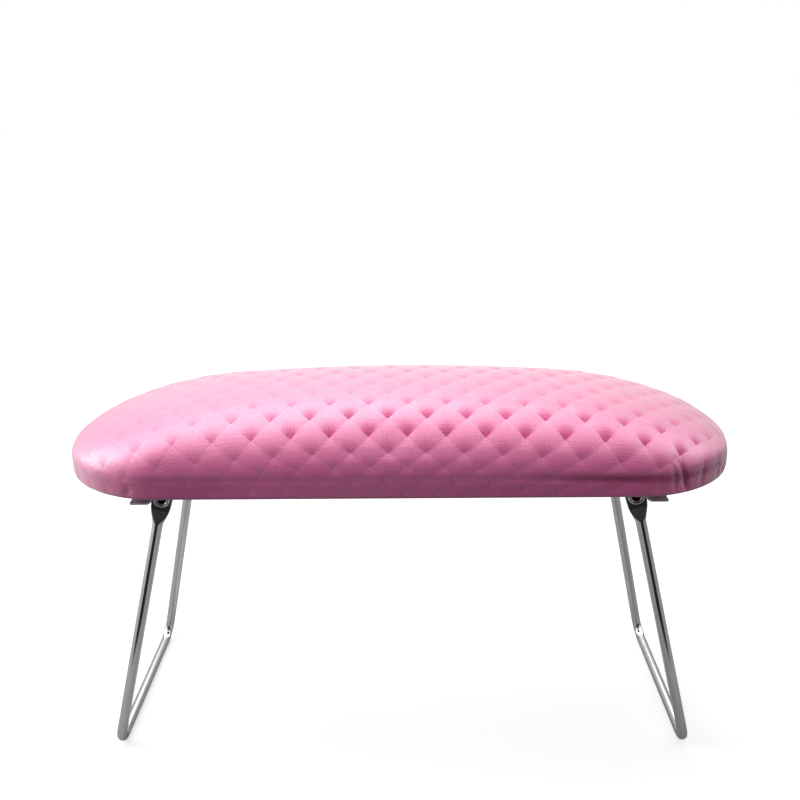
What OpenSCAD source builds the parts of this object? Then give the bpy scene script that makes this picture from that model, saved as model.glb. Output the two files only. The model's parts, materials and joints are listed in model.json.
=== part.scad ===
/* [Cushion] */
// Length of the flat underside
board_l = 390; // [330:1:450]
// Width of the flat underside
board_w = 123; // [110:1:140]
// How far the padded side bulges past the underside
side_bulge = 5; // [2:0.5:8]
// Height of the widest line above the underside
widest_h = 8.5; // [8:0.5:16]
// Height of the crown above the underside
crown_h = 50.8; // [38:0.2:64]
// Fall of the crown from the middle to the ends
crown_fall = 13.2; // [0:0.2:16]
// Clearance between the foam and the cover
foam_gap = 0.3; // [0.2:0.05:0.6]

/* [Covers] */
// Thickness of the upholstery sheet
cover_t = 1; // [0.6:0.1:1.4]
// Width of the hem turned under the board
hem_w = 16; // [14:1:22]
// Thickness of the fabric on the underside
backing_t = 0.5; // [0.5:0.05:0.9]
// Width of the backing fabric folded over its card
backing_fold_w = 7; // [4:0.5:9]
// Thickness of the backing card
card_t = 1; // [0.8:0.1:2]

/* [Board] */
// Thickness of the plywood board
board_t = 8; // [6:0.5:12]
// Set-back of the board from the underside outline
board_inset = 2; // [1.6:0.1:3]

/* [Staples] */
// Number of staples along each long side
staples_per_side = 8; // [4:1:12]
// Width of a staple crown
staple_w = 10; // [6:0.5:12]
// Thickness of the staple wire
staple_t = 0.45; // [0.3:0.05:0.5]
// Depth of the staple legs above the hem
staple_depth = 5; // [3:0.5:5.5]

/* [Hinge plates] */
// Distance from the end of the underside to each leg pivot
pivot_inset = 57; // [50:0.5:70]
// Length of a plate along the cushion
plate_l = 36; // [32:1:44]
// Width of a plate over its flanges
plate_w = 83; // [74:1:92]
// Thickness of the pressed steel
plate_t = 1.5; // [1:0.1:2]
// Inside radius of the bends
bend_r = 1; // [0.8:0.1:1.5]
// Drop of the pivots below the underside
pivot_drop = 8; // [7.5:0.1:9]
// Radius of the rounded ear round each pivot
ear_r = 5.8; // [5:0.1:6]
// Height of the flange at its inboard end
flange_low = 4; // [3:0.1:4.2]
// Drop of the stop tabs below the underside
tab_drop = 10; // [9.5:0.1:10.5]
// Reach of a stop tab beyond the flange
tab_reach = 5.2; // [4:0.1:6]
// Radius of the stop tab's free corner
tab_corner_r = 2; // [1:0.1:2.5]

/* [Legs] */
// Diameter of the leg wire
wire_d = 6.2; // [5:0.1:6.4]
// Length from the pivot to the middle of the crossbar
leg_length = 171.2; // [140:0.2:200]
// Angle of the open legs from vertical, in degrees
leg_splay = 14.4; // [8:0.1:20]
// Width between the corners of the crossbar's centre line
foot_w = 124.8; // [118:0.2:136]
// Centre line radius of the bends
foot_bend_r = 11; // [9:0.5:16]
// Radius of the flattened eye
eye_r = 6.3; // [5.8:0.1:6.6]
// Thickness of the flattened lug
lug_t = 2; // [1.6:0.1:2.4]
// Length of the flat below the pivot
lug_flat = 6.5; // [5:0.1:7.5]
// Half width of the flat at its lower end
lug_end_r = 5.7; // [4.8:0.1:5.8]
// Length from the pivot to the full round wire
lug_neck = 16; // [15:0.5:20]

/* [Rivets] */
// Diameter of the rivet shank
rivet_d = 5; // [4:0.1:5.4]
// Diameter of the rolled rivet head
rivet_head_d = 9.8; // [8:0.1:10.4]
// Thickness of the rolled head
rivet_head_t = 1.5; // [1:0.1:2]
// Diameter of the hollow in the rivet
rivet_bore_d = 3.4; // [2:0.1:3.6]
// Diameter of the flared mouth of the hollow
rivet_mouth_d = 6; // [5:0.1:6.6]
// Radial play of the rivet in the lug
rivet_play = 0.07; // [0.03:0.01:0.1]

/* [Screws] */
// Diameter of the screw shank
screw_d = 3.2; // [2.5:0.1:3.6]
// Diameter of the domed head
screw_head_d = 9.4; // [8:0.1:10]
// Height of the domed head
screw_head_h = 2.4; // [1.8:0.1:2.8]
// Wood left above the point of a screw
screw_cover = 0.8; // [0.5:0.1:2]
// Distance of the paired screws from the plate's inboard edge
screw_edge = 4.7; // [4.7:0.1:7]
// Distance of each paired screw from the plate's middle line
screw_pair_y = 27; // [20:0.5:30]
// Distance of the single screw from the plate's outboard edge
screw_outer_edge = 8; // [6:0.5:12]

/* [Hidden] */

// Share of the straight length that the crown's ridge keeps
ridge_share = 0.43;
// Exponents that fill out the dome and the side below the widest line
dome_fullness = 2.6;
side_fullness = 5;

// Overrun of every cut
cut = 1;
// Play of a fixed pin or screw in its hole
pin_play = 0.05;
// Side play of the lug between the flange and the rivet head
lug_play = 0.1;
// Play of the open leg against its stop tab
stop_play = 0.1;
// Ratio of the hull's end disc to the wire that it runs into
neck_share = 0.96;
// Depth that the hull's end disc has inside the wire
neck_t = 0.5;
// The wire draws thinner in its bends, which run on into the straight stretches by this angle
bend_thin_share = 0.97;
bend_lap_angle = 2;
// Width and depth of the cross recess, and its reach over the head
recess_w = 1;
recess_depth = 1.3;
recess_l = 4.6;
// Length of the screw's point
screw_point = 4;
// Radius and thickness of the rivet's inner head
clinch_r = 3.9;
clinch_t = 0.8;
// Chamfer on the rivet head
rivet_chamfer = 0.5;
// Play round the screws in the sheet and the plate
screw_play = 0.3;
// Rounding of the bottom edge of the cushion
edge_round = 1.5;
// Inset of the backing from the underside outline
backing_inset = 0.8;
// Staple row's distance in from the outline
staple_row = 12;
// Angles of the staples round each end
staple_angles = [-60, 0, 60];

// Corner counts of the cushion's outlines and rings
arc_steps = 14;
side_steps = 8;
dome_steps = 9;
side_rings = 3;
dome_start_angle = 10;
round_fn = 96;
hull_fn = 32;

wire_r = wire_d/2;
pivot_z = wire_r + leg_length*cos(leg_splay);
under_z = pivot_z + pivot_drop;
pivot_x = board_l/2 - pivot_inset;
end_half = (board_l - board_w)/2;
outline_r = board_w/2;
fall_share = crown_fall/(crown_h - widest_h);

card_z = under_z + backing_t;
fold_z = card_z + card_t;
hem_z = fold_z + backing_t;
board_z = hem_z + cover_t;
foam_z = board_z + board_t;
screw_l = plate_t + foam_z - under_z - screw_cover;

flange_y = plate_w/2;
lug_y = flange_y + lug_play + lug_t/2;
arm_tilt = atan((foot_w/2 - lug_y)/leg_length);
foot_tangent = foot_bend_r*tan((90 + arm_tilt)/2);
arm_l = norm([foot_w/2 - lug_y, leg_length]);
lug_taper = (eye_r - lug_end_r)/lug_flat;
tab_below = tab_drop - pivot_drop;
tab_x = (eye_r + stop_play + tab_below*(sin(leg_splay) - lug_taper*cos(leg_splay)))
    / (cos(leg_splay) + lug_taper*sin(leg_splay));
bend_out_r = bend_r + plate_t;

screw_places = [
    [screw_edge - plate_l/2, -screw_pair_y],
    [screw_edge - plate_l/2, screw_pair_y],
    [plate_l/2 - screw_outer_edge, 0]];

// A flat shape with straight sides and round ends
module stadium(half, r) {
    square([2*half, 2*r], center = true);
    for (side = [-1, 1]) translate([side*half, 0]) circle(r, $fn = round_fn);
}

// One closed outline of the cushion as points at one height
function outline(half, r, z) = concat(
    [for (i = [0:arc_steps]) let (a = -90 + 180*i/arc_steps) [half + r*cos(a), r*sin(a), z]],
    [for (i = [1:side_steps - 1]) [half - 2*half*i/side_steps, r, z]],
    [for (i = [0:arc_steps]) let (a = 90 + 180*i/arc_steps) [-half + r*cos(a), r*sin(a), z]],
    [for (i = [1:side_steps - 1]) [-half + 2*half*i/side_steps, -r, z]]);

// Rings of the dome from the crown down to the widest line, drawn in by inset
function dome_rings(inset) = let (r = outline_r + side_bulge - inset, h = crown_h - inset - widest_h)
    [for (k = [0:dome_steps - 1])
        let (a = dome_start_angle + (90 - dome_start_angle)*k/(dome_steps - 1),
            share = pow(sin(a), 2/dome_fullness),
            half = end_half*(ridge_share + (1 - ridge_share)*share))
        [for (p = outline(half, r*share, h*pow(max(cos(a), 0), 2/dome_fullness)))
            [p[0], p[1], under_z + widest_h + p[2]*(1 - fall_share*pow(2*p[0]/board_l, 2))]]];

// Rings from below the widest line down to the level bottom_z at the radius bottom_r
function side_ring_list(inset, bottom_r, bottom_z) = let (r = outline_r + side_bulge - inset)
    [for (k = [1:side_rings])
        let (a = 90 - 90*k/side_rings)
        outline(end_half, bottom_r + (r - bottom_r)*pow(sin(a), 2/side_fullness),
            bottom_z + (under_z + widest_h - bottom_z)*(1 - pow(cos(a), 2/side_fullness)))];

// A closed solid from a stack of rings with a point at each end
module ring_solid(rings, first, last) {
    n = len(rings[0]);
    count = len(rings);
    points = concat([for (ring = rings) each ring], [first, last]);
    first_fan = [for (i = [0:n - 1]) [n*count, (i + 1)%n, i]];
    bands = [for (k = [0:count - 2]) for (i = [0:n - 1])
        let (a = k*n + i, b = k*n + (i + 1)%n, c = a + n, d = b + n) each [[a, b, d], [a, d, c]]];
    last_fan = [for (i = [0:n - 1]) [n*count + 1, n*(count - 1) + i, n*(count - 1) + (i + 1)%n]];
    polyhedron(points, concat(first_fan, bands, last_fan), convexity = 6);
}

module top_cover() {
    hem_r = outline_r - hem_w;
    edge_r = outline_r - edge_round;
    outside = concat(dome_rings(0), side_ring_list(0, edge_r, hem_z), [outline(end_half, hem_r, hem_z)]);
    inside = concat(dome_rings(cover_t), side_ring_list(cover_t, edge_r, board_z));
    turned = [for (k = [len(inside) - 1:-1:0]) inside[k]];
    color("hotpink") ring_solid(concat(outside, [outline(end_half, hem_r, board_z)], turned),
        [0, 0, under_z + crown_h], [0, 0, under_z + crown_h - cover_t]);
}

// The foam's rabbet is wide enough for its chords to clear the board's true arcs
module foam_pad() {
    inset = cover_t + foam_gap;
    board_r = (outline_r - board_inset + foam_gap)/cos(90/arc_steps);
    skirt_z = (board_z + min(foam_z, under_z + widest_h))/2;
    top_part = concat(dome_rings(inset), side_ring_list(inset, board_r + cover_t, skirt_z));
    color("lemonchiffon") ring_solid(
        concat(top_part, [outline(end_half, board_r, skirt_z), outline(end_half, board_r, foam_z)]),
        [0, 0, under_z + crown_h - inset], [0, 0, foam_z]);
}

// Places its children at each screw of both plates
module at_screws() {
    for (side = [-1, 1]) for (place = screw_places)
        translate([side*(pivot_x + place[0]), place[1]]) children();
}

module base_board() {
    color("burlywood") difference() {
        translate([0, 0, board_z]) linear_extrude(board_t) stadium(end_half, outline_r - board_inset);
        translate([0, 0, board_z - cut])
            at_screws() cylinder(h = board_t + 2*cut, d = screw_d + 2*pin_play, $fn = hull_fn);
    }
}

// One staple with its crown below the hem
module staple() {
    translate([-staple_w/2, -staple_t/2, -staple_t]) cube([staple_w, staple_t, staple_t]);
    for (x = [-staple_w/2, staple_w/2 - staple_t])
        translate([x, -staple_t/2, 0]) cube([staple_t, staple_t, cover_t + staple_depth]);
}

module cover_staples() {
    step = 2*end_half/(staples_per_side - 1);
    color("silver") translate([0, 0, hem_z]) for (side = [-1, 1]) {
        for (i = [0:staples_per_side - 1])
            translate([-end_half + i*step, side*(outline_r - staple_row), 0]) staple();
        translate([side*end_half, 0, 0]) for (angle = staple_angles)
            rotate([0, 0, angle + (side < 0 ? 180 : 0)]) translate([outline_r - staple_row, 0, 0])
                rotate([0, 0, 90]) staple();
    }
}

module backing_card() {
    color("dimgray") difference() {
        translate([0, 0, card_z]) linear_extrude(card_t)
            stadium(end_half, outline_r - backing_inset - backing_t);
        translate([0, 0, card_z - cut])
            at_screws() cylinder(h = card_t + 2*cut, d = screw_d + 2*screw_play, $fn = hull_fn);
    }
}

module backing_cover() {
    r = outline_r - backing_inset;
    color("pink") difference() {
        translate([0, 0, under_z]) linear_extrude(hem_z - under_z) stadium(end_half, r);
        translate([0, 0, card_z]) linear_extrude(card_t) stadium(end_half, r - backing_t);
        translate([0, 0, fold_z]) linear_extrude(backing_t + cut) stadium(end_half, r - backing_fold_w);
        translate([0, 0, under_z - cut])
            at_screws() cylinder(h = backing_t + 2*cut, d = screw_d + 2*screw_play, $fn = hull_fn);
    }
}

// A quarter of the section through a bend, curving from the wall towards the sheet
module bend_section() {
    intersection() {
        difference() {
            circle(bend_out_r, $fn = round_fn);
            circle(bend_r, $fn = round_fn);
        }
        square(bend_out_r);
    }
}

// Section through one half of the channel, across the cushion, with the underside at height 0
module channel_half() {
    translate([0, -plate_t]) square([flange_y - bend_out_r, plate_t]);
    translate([flange_y - bend_out_r, -bend_out_r]) bend_section();
    translate([flange_y - plate_t, -pivot_drop - ear_r - cut])
        square([plate_t, pivot_drop + ear_r + cut - bend_out_r]);
}

// Side view of the plate: the sheet's edge, the low flange, the ear and the wall above the stop tab
module flange_outline() {
    translate([-plate_l/2, -flange_low]) square([plate_l, flange_low + cut]);
    translate([0, -tab_drop + bend_out_r]) square([plate_l/2, tab_drop]);
    translate([0, -pivot_drop]) circle(ear_r, $fn = round_fn);
    polygon([[-ear_r, 0], [-ear_r, -pivot_drop], [0, -pivot_drop], [0, 0]]);
    polygon([[-ear_r - plate_t, -flange_low + plate_t], [-ear_r - plate_t, -flange_low],
        [-ear_r, -pivot_drop], [-ear_r, 0]]);
}

// Stop tab bent outward at the foot of the flange
module stop_tab() {
    tab_l = plate_l/2 - tab_x;
    out_y = flange_y + tab_reach;
    intersection() {
        translate([tab_x, 0, 0]) rotate([90, 0, 90]) linear_extrude(tab_l) {
            translate([flange_y + bend_r, -tab_drop]) square([tab_reach - bend_r, plate_t]);
            translate([flange_y + bend_r, -tab_drop + bend_out_r]) rotate(180) bend_section();
        }
        translate([0, 0, -tab_drop - cut]) linear_extrude(bend_out_r + 2*cut) {
            translate([tab_x, 0]) square([tab_l + cut, out_y - tab_corner_r]);
            translate([tab_x + tab_corner_r, 0]) square([tab_l + cut, out_y]);
            translate([tab_x + tab_corner_r, out_y - tab_corner_r]) circle(tab_corner_r, $fn = round_fn);
        }
    }
}

// The right-hand plate about its pivot line, with the underside at height 0
module hinge_plate() {
    difference() {
        union() {
            intersection() {
                translate([-plate_l/2, 0, 0]) rotate([90, 0, 90]) linear_extrude(plate_l) {
                    channel_half();
                    mirror([1, 0]) channel_half();
                }
                translate([0, plate_w, 0]) rotate([90, 0, 0]) linear_extrude(2*plate_w) flange_outline();
            }
            stop_tab();
            mirror([0, 1, 0]) stop_tab();
        }
        for (place = screw_places) translate([place[0], place[1], -plate_t - cut])
            cylinder(h = plate_t + 2*cut, d = screw_d + 2*screw_play, $fn = hull_fn);
        translate([0, 0, -pivot_drop]) rotate([90, 0, 0])
            cylinder(h = plate_w + 2*cut, d = rivet_d + 2*pin_play, center = true, $fn = round_fn);
    }
}

// Puts a right-hand piece in place, or its mirror image on the left
module on_side(side, height) {
    mirror([side < 0 ? 1 : 0, 0, 0]) translate([pivot_x, 0, height]) children();
}

module screw() {
    cap_r = (pow(screw_head_d/2, 2) + pow(screw_head_h, 2))/(2*screw_head_h);
    difference() {
        union() {
            intersection() {
                translate([0, 0, cap_r - screw_head_h]) sphere(cap_r, $fn = round_fn);
                translate([0, 0, -screw_head_h]) cylinder(h = screw_head_h, d = screw_head_d, $fn = round_fn);
            }
            cylinder(h = screw_l - screw_point, d = screw_d, $fn = hull_fn);
            translate([0, 0, screw_l - screw_point])
                cylinder(h = screw_point, d1 = screw_d, d2 = 0, $fn = hull_fn);
        }
        for (turn = [0, 90]) rotate([0, 0, turn])
            translate([-recess_l/2, -recess_w/2, -screw_head_h - cut])
                cube([recess_l, recess_w, recess_depth + cut]);
    }
}

module plate_screw(side, place) {
    color("gainsboro") on_side(side, under_z - plate_t) translate([place[0], place[1], 0]) screw();
}

// A rivet along +Y from its inner head, with its hollow open at the outside
module rivet() {
    length = clinch_t + plate_t + lug_t + 2*lug_play + rivet_head_t;
    head = length - rivet_head_t;
    hollow = head - clinch_t;
    rotate([-90, 0, 0]) rotate_extrude($fn = round_fn) polygon([
        [0, 0], [clinch_r, 0], [clinch_r, clinch_t], [rivet_d/2, clinch_t], [rivet_d/2, head],
        [rivet_head_d/2, head], [rivet_head_d/2, length - rivet_chamfer],
        [rivet_head_d/2 - rivet_chamfer, length], [rivet_mouth_d/2, length],
        [rivet_bore_d/2, head], [rivet_bore_d/2, length - hollow], [0, length - hollow]]);
}

module plate_rivet(side, end) {
    color("silver") on_side(side, pivot_z) mirror([0, end < 0 ? 1 : 0, 0])
        translate([0, flange_y - plate_t - clinch_t, 0]) rivet();
}

// One end of the leg hanging straight down from its pivot: eye, flat, neck, wire, bend, half crossbar
module leg_half() {
    translate([0, lug_y - lug_t/2, 0]) rotate([-90, 0, 0]) linear_extrude(lug_t) difference() {
        union() {
            circle(eye_r, $fn = round_fn);
            polygon([[-eye_r, 0], [eye_r, 0], [lug_end_r, lug_flat], [-lug_end_r, lug_flat]]);
        }
        circle(rivet_d/2 + rivet_play, $fn = round_fn);
    }
    hull() {
        translate([-lug_end_r, lug_y - lug_t/2, -lug_flat]) cube([2*lug_end_r, lug_t, neck_t]);
        translate([0, lug_y, 0]) rotate([180 + arm_tilt, 0, 0]) translate([0, 0, lug_neck])
            cylinder(h = neck_t, r = wire_r*neck_share, $fn = hull_fn);
    }
    translate([0, lug_y, 0]) rotate([180 + arm_tilt, 0, 0]) translate([0, 0, lug_neck])
        cylinder(h = arm_l - foot_tangent - lug_neck, r = wire_r, $fn = round_fn);
    translate([0, foot_w/2 - foot_tangent, foot_bend_r - leg_length]) rotate([90, 0, 90])
        rotate([0, 0, -90 - bend_lap_angle])
            rotate_extrude(angle = 90 + arm_tilt + 2*bend_lap_angle, $fn = round_fn)
                translate([foot_bend_r, 0]) circle(wire_r*bend_thin_share, $fn = round_fn);
    translate([0, 0, -leg_length]) rotate([-90, 0, 0])
        cylinder(h = foot_w/2 - foot_tangent, r = wire_r, $fn = round_fn);
}

module leg(side) {
    color("silver") on_side(side, pivot_z) rotate([0, -leg_splay, 0]) {
        leg_half();
        mirror([0, 1, 0]) leg_half();
    }
}

top_cover();
foam_pad();
base_board();
cover_staples();
backing_card();
backing_cover();
color("whitesmoke") on_side(-1, under_z) hinge_plate();  // left_hinge_plate
color("lightgray") on_side(1, under_z) hinge_plate();  // right_hinge_plate
plate_screw(-1, screw_places[0]);  // left_screw_front
plate_screw(-1, screw_places[1]);  // left_screw_rear
plate_screw(-1, screw_places[2]);  // left_screw_outer
plate_screw(1, screw_places[0]);  // right_screw_front
plate_screw(1, screw_places[1]);  // right_screw_rear
plate_screw(1, screw_places[2]);  // right_screw_outer
plate_rivet(-1, -1);  // left_rivet_front
plate_rivet(-1, 1);  // left_rivet_rear
plate_rivet(1, -1);  // right_rivet_front
plate_rivet(1, 1);  // right_rivet_rear
leg(-1);  // left_leg
leg(1);  // right_leg
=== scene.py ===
import json
import math
import bmesh
import bpy
import numpy as np
from mathutils import Matrix, Vector
from mathutils.kdtree import KDTree


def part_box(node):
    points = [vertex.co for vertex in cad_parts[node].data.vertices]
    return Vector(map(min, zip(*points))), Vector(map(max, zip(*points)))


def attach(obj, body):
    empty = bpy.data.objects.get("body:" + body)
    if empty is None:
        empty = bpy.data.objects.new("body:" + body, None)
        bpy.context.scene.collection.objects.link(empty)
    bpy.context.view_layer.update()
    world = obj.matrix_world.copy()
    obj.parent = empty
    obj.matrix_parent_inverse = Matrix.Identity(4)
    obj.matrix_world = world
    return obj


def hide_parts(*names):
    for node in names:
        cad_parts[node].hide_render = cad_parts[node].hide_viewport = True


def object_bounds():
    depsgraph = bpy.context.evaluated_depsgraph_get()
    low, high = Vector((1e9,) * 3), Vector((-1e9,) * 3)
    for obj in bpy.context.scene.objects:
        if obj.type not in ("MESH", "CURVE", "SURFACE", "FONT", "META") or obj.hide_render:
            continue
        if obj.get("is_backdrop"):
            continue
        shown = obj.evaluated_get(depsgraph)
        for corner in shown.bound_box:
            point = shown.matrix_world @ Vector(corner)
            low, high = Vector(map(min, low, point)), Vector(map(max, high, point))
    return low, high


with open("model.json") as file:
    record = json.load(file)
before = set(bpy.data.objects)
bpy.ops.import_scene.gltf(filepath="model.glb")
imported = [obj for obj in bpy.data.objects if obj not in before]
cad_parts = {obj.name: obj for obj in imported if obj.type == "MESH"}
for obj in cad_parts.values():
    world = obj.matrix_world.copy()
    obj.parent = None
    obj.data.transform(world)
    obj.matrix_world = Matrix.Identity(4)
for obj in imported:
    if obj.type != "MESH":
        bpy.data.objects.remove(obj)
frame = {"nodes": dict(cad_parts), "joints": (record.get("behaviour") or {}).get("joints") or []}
CAD_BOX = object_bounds()

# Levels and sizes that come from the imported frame, in metres
cover_low, cover_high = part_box("top_cover")
backing_low, backing_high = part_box("backing_cover")
foam_low, foam_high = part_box("foam_pad")
board_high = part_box("base_board")[1]
PIVOT = frame["joints"][1]["pos_m"]
UNDER_Z = backing_low.z
HEM_Z = cover_low.z
WIDE_R = cover_high.y
END_HALF = cover_high.x - cover_high.y
BACKING_R = backing_high.y

# The cushion's section: the widest line, the radii of the bottom edge and of the hem's inner edge, the share
# of the end line that the crown's ridge keeps, how full the dome and the side are, how far the crown has
# fallen at half the length, and how the dome's rings crowd towards the crown
WIDEST_Z = UNDER_Z + 0.0085
EDGE_R = 0.0638
HEM_R = 0.0455
RIDGE_SHARE = 0.43
DOME_FULLNESS = 2.6
SIDE_FULLNESS = 4.5
CROWN_FALL = 0.0132
HALF_LENGTH = 0.195
RING_CROWDING = 1.25

# The cover's grid, as steps round one end, steps along one side and rings, and the distance for welding
ARC_STEPS = 176
SIDE_STEPS = 226
COVER_RINGS = 96
WELD = 1e-6

# The sheets' thicknesses, the backing's rounded edge and its gap to the cushion, and the foam's gap to the
# board's edge with its thickness beside it
COVER_T = 0.0009
BACKING_T = 0.0004
BACKING_ROUND = 0.0009
BACKING_LIFT = 0.00002
BOARD_GAP = 0.0003
SKIRT_T = 0.001

# The embossed diamonds: their size along and across the cushion, where their lattice starts, the shape of
# their creases, the line below which the sheet is gathered, so that they are shorter, and their depth. Then
# the same for the underside, the outer and inner reach of the fans, the waves of their rays as pairs of
# frequency and strength, and the weave
DIAMOND_ALONG = 0.02206
DIAMOND_ACROSS = 0.0234
DIAMOND_START = (-0.0050, -0.0021)
CREASE_POWER = 3.0
CREASE_SHARE = 0.28
CROSSING_POWER = 1.6
WALL_LINE = 0.0648
WALL_GATHER = 0.44
PUFF_H = 0.00075
UNDER_DIAMOND_ALONG = 0.0209
UNDER_DIAMOND_ACROSS = 0.0202
UNDER_DIAMOND_START = (0.0011, 0.0)
UNDER_PUFF_H = 0.0004
FAN_REACH = 0.82
FAN_CORE = 0.14
RAY_WAVES = ((36.0, 0.7), (23.0, 0.5))
THREAD_PITCH = 0.0012
THREAD_BUMP = 0.00011

# The cover's swelling: how far the foam stays back, the slack before it and the most that a point may move,
# then the simulation's voxel, pressure, frames and held edge, and the reach of its carrying over
FOAM_SQUEEZE = 0.0024
SWELL_START = 0.0005
SWELL_LIMIT = 0.0026
VOXEL = 0.005
PRESSURE = 4
FRAMES = 20
HELD_HEIGHT = 0.004
CARRY_POINTS = 8
CARRY_REACH = 0.005

# The line where the cover passes the board's top edge, and the puckers round its two ends: for each end its
# side, their count and their strength, then their range of angles, and the angles where they fade
BOARD_LINE_Z = UNDER_Z + 0.0135
BOARD_LINE_DEPTH = 0.0008
BOARD_LINE_HALF = 0.0020
PUCKER_DEPTH = 0.0021
PUCKER_HALF = 0.0014
PUCKER_ENDS = ((-1, 6, 0.5), (1, 17, 1.0))
PUCKER_ANGLES = (-1.25, 1.35)
PUCKER_FADE = (1.32, 1.52)

# Where shade is painted into the cover's colour, as heights above the hem and shares: the bottom seam, the
# fold line along the front, the low band, and the lower walls of the two ends
SEAM_DARK = 0.0022
FOLD_Z = 0.0105
FOLD_HALF = 0.0026
FOLD_SLOPE = 0.03
FOLD_DARK = 1.15
PUCKER_DARK = 1.7
BAND_DARK = 0.32
RIGHT_WALL_DARK = 0.65
LEFT_WALL_DARK = 0.4

# The wire leg, hanging straight down from its pivot before it is splayed: the wire, the crossbar's end and
# bend, and the pierced lug, which is flat down to LUG_FLAT and round again at LUG_NECK
WIRE_R = 0.0031
LEG_LENGTH = 0.1712
LEG_SPLAY = math.radians(14.4)
FOOT_HALF = 0.0624
FOOT_BEND_R = 0.011
LUG_Y = 0.0426
EYE_R = 0.0063
LUG_HALF_T = 0.001
LUG_FLAT = 0.0065
LUG_END_R = 0.0057
LUG_NECK = 0.0160

# Rivets, with their tails and hollows as pairs of radius and distance from the end, and the room that a lug
# has to turn
RIVET_R = 0.0025
RIVET_HEAD_R = 0.0049
RIVET_HEAD_T = 0.0015
RIVET_LIP_R = 0.0012
RIVET_PLAY = 0.00007
RIVET_TAIL = ((0, 0), (0.0034, 0), (0.0039, 0.0002), (0.0039, 0.0008), (RIVET_R, 0.0008))
RIVET_HOLLOW = ((0.0024, 0.0010), (0.0020, 0.0018), (0.0018, 0.0026), (0.0018, 0.0042), (0, 0.0042))
RIVET_UNDERCUT = 0.0002

# Screws with their cross recesses, and the broken edges of the plates
SCREW_R = 0.0016
SCREW_HEAD_R = 0.0047
SCREW_HEAD_H = 0.0024
RECESS_W = 0.0010
RECESS_L = 0.0048
RECESS_DEPTH = 0.0013
RECESS_SLOPE = 0.45
SCREW_POINT = 0.004
EDGE_BREAK = 0.00022
SHARP_ANGLE = math.radians(40)

# Finishes: what the leatherette's pink is multiplied by in the fans, at the crease lines as a painted
# highlight and where shade is painted, and what the steel's colour is multiplied by where it is handled and
# where shade is painted in the rivets' hollows
DEEP_SHARE = (0.97, 0.36, 0.64)
HIGHLIGHT_SHARE = (1.30, 2.0, 1.55)
PAINTED_SHADE_SHARE = (0.47, 0.40, 0.50)
DULL_SHARE = (0.82, 0.81, 0.80)
HOLLOW_SHADE_SHARE = (0.03, 0.03, 0.03)

# The camera: focal length, vertical shift and frame in pixels, its place, and its turns about Z, X and Z
FOCAL_PX = 865.9
SHIFT_PX = 68
FRAME_PX = 800
CAMERA_PLACE = (0.0085, -0.49589, 0.39033)
CAMERA_TURNS = (0.0157, math.radians(90 - 24.097), -0.0132)

# Light: the strength of the studio's scattered light, and each lamp's place, size and power
WORLD_SPREAD = 0.40
LAMP_AIM = (0, 0, 0.2)
LAMPS = {"back_softbox": ((-0.40, 0.45, 1.45), (1.8, 1.0), 13),
         "left_softbox": ((-1.35, 0.05, 0.70), (0.8, 0.8), 14),
         "right_softbox": ((1.20, 0.25, 1.00), (0.8, 0.7), 2.5)}


# Mesh helpers

def add_object(name, data):
    """An object with the data, in the scene."""
    made = bpy.data.objects.new(name, data)
    bpy.context.scene.collection.objects.link(made)
    return made


def make_mesh(name, grid, uv=None, soil=None, flip=False):
    """A smooth mesh object from a grid of points, closed round its columns, with an optional UV and painted shade
    value at each point. Points that lie together are welded, and every face is turned outwards."""
    index = np.arange(grid.shape[0] * grid.shape[1]).reshape(grid.shape[:2])
    after = np.roll(index, -1, 1)
    quads = np.stack([index[:-1], index[1:], after[1:], after[:-1]], -1).reshape(-1, 4)
    mesh = bpy.data.meshes.new(name)
    mesh.from_pydata(grid.reshape(-1, 3), [], quads[:, ::-1] if flip else quads)
    mesh.polygons.foreach_set("use_smooth", np.ones(len(mesh.polygons), bool))
    loops = np.zeros(len(mesh.loops), np.int32)
    mesh.loops.foreach_get("vertex_index", loops)
    if uv is not None:
        layer = mesh.uv_layers.new(name="fabric")
        layer.data.foreach_set("uv", uv.reshape(-1, 2)[loops].astype(np.float32).ravel())
    if soil is not None:
        mesh.attributes.new("soil", "FLOAT", "POINT").data.foreach_set("value", soil.astype(np.float32).ravel())
    mesh.update()
    piece = add_object(name, mesh)
    work = bmesh.new()
    work.from_mesh(mesh)
    bmesh.ops.remove_doubles(work, verts=work.verts, dist=WELD)
    bmesh.ops.recalc_face_normals(work, faces=work.faces)
    work.to_mesh(mesh)
    work.free()
    return piece


def apply_modifiers(piece):
    """Gives the piece the mesh that its modifiers make of it, and drops them."""
    made = bpy.data.meshes.new_from_object(piece.evaluated_get(bpy.context.evaluated_depsgraph_get()))
    piece.modifiers.clear()
    piece.data = made
    return made


def give_thickness(piece, thickness):
    """Makes a sheet of the piece's faces, which are its outer side."""
    wall = piece.modifiers.new("sheet", "SOLIDIFY")
    wall.thickness = thickness
    wall.offset = -1


def coordinates(mesh):
    """A mesh's points as an array."""
    points = np.zeros(len(mesh.vertices) * 3, np.float32)
    mesh.vertices.foreach_get("co", points)
    return points.reshape(-1, 3)


def blend(low, high, value):
    """A smooth step from 0 at low to 1 at high."""
    share = np.clip((value - low) / (high - low), 0, 1)
    return share * share * (3 - 2 * share)


def surface_normals(grid):
    """Unit normals of a closed grid, from the cross product of its differences down and round, straight up
    along the crown line, where the grid's two sides meet."""
    down = np.gradient(grid, axis=0)
    ahead = np.roll(grid, -1, 1) - np.roll(grid, 1, 1)
    normal = np.cross(down, ahead)
    size = np.linalg.norm(normal, axis=2, keepdims=True)
    normal = normal / np.maximum(size, 1e-12)
    normal[0] = (0, 0, 1)
    return normal


# The cushion's rings

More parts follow.
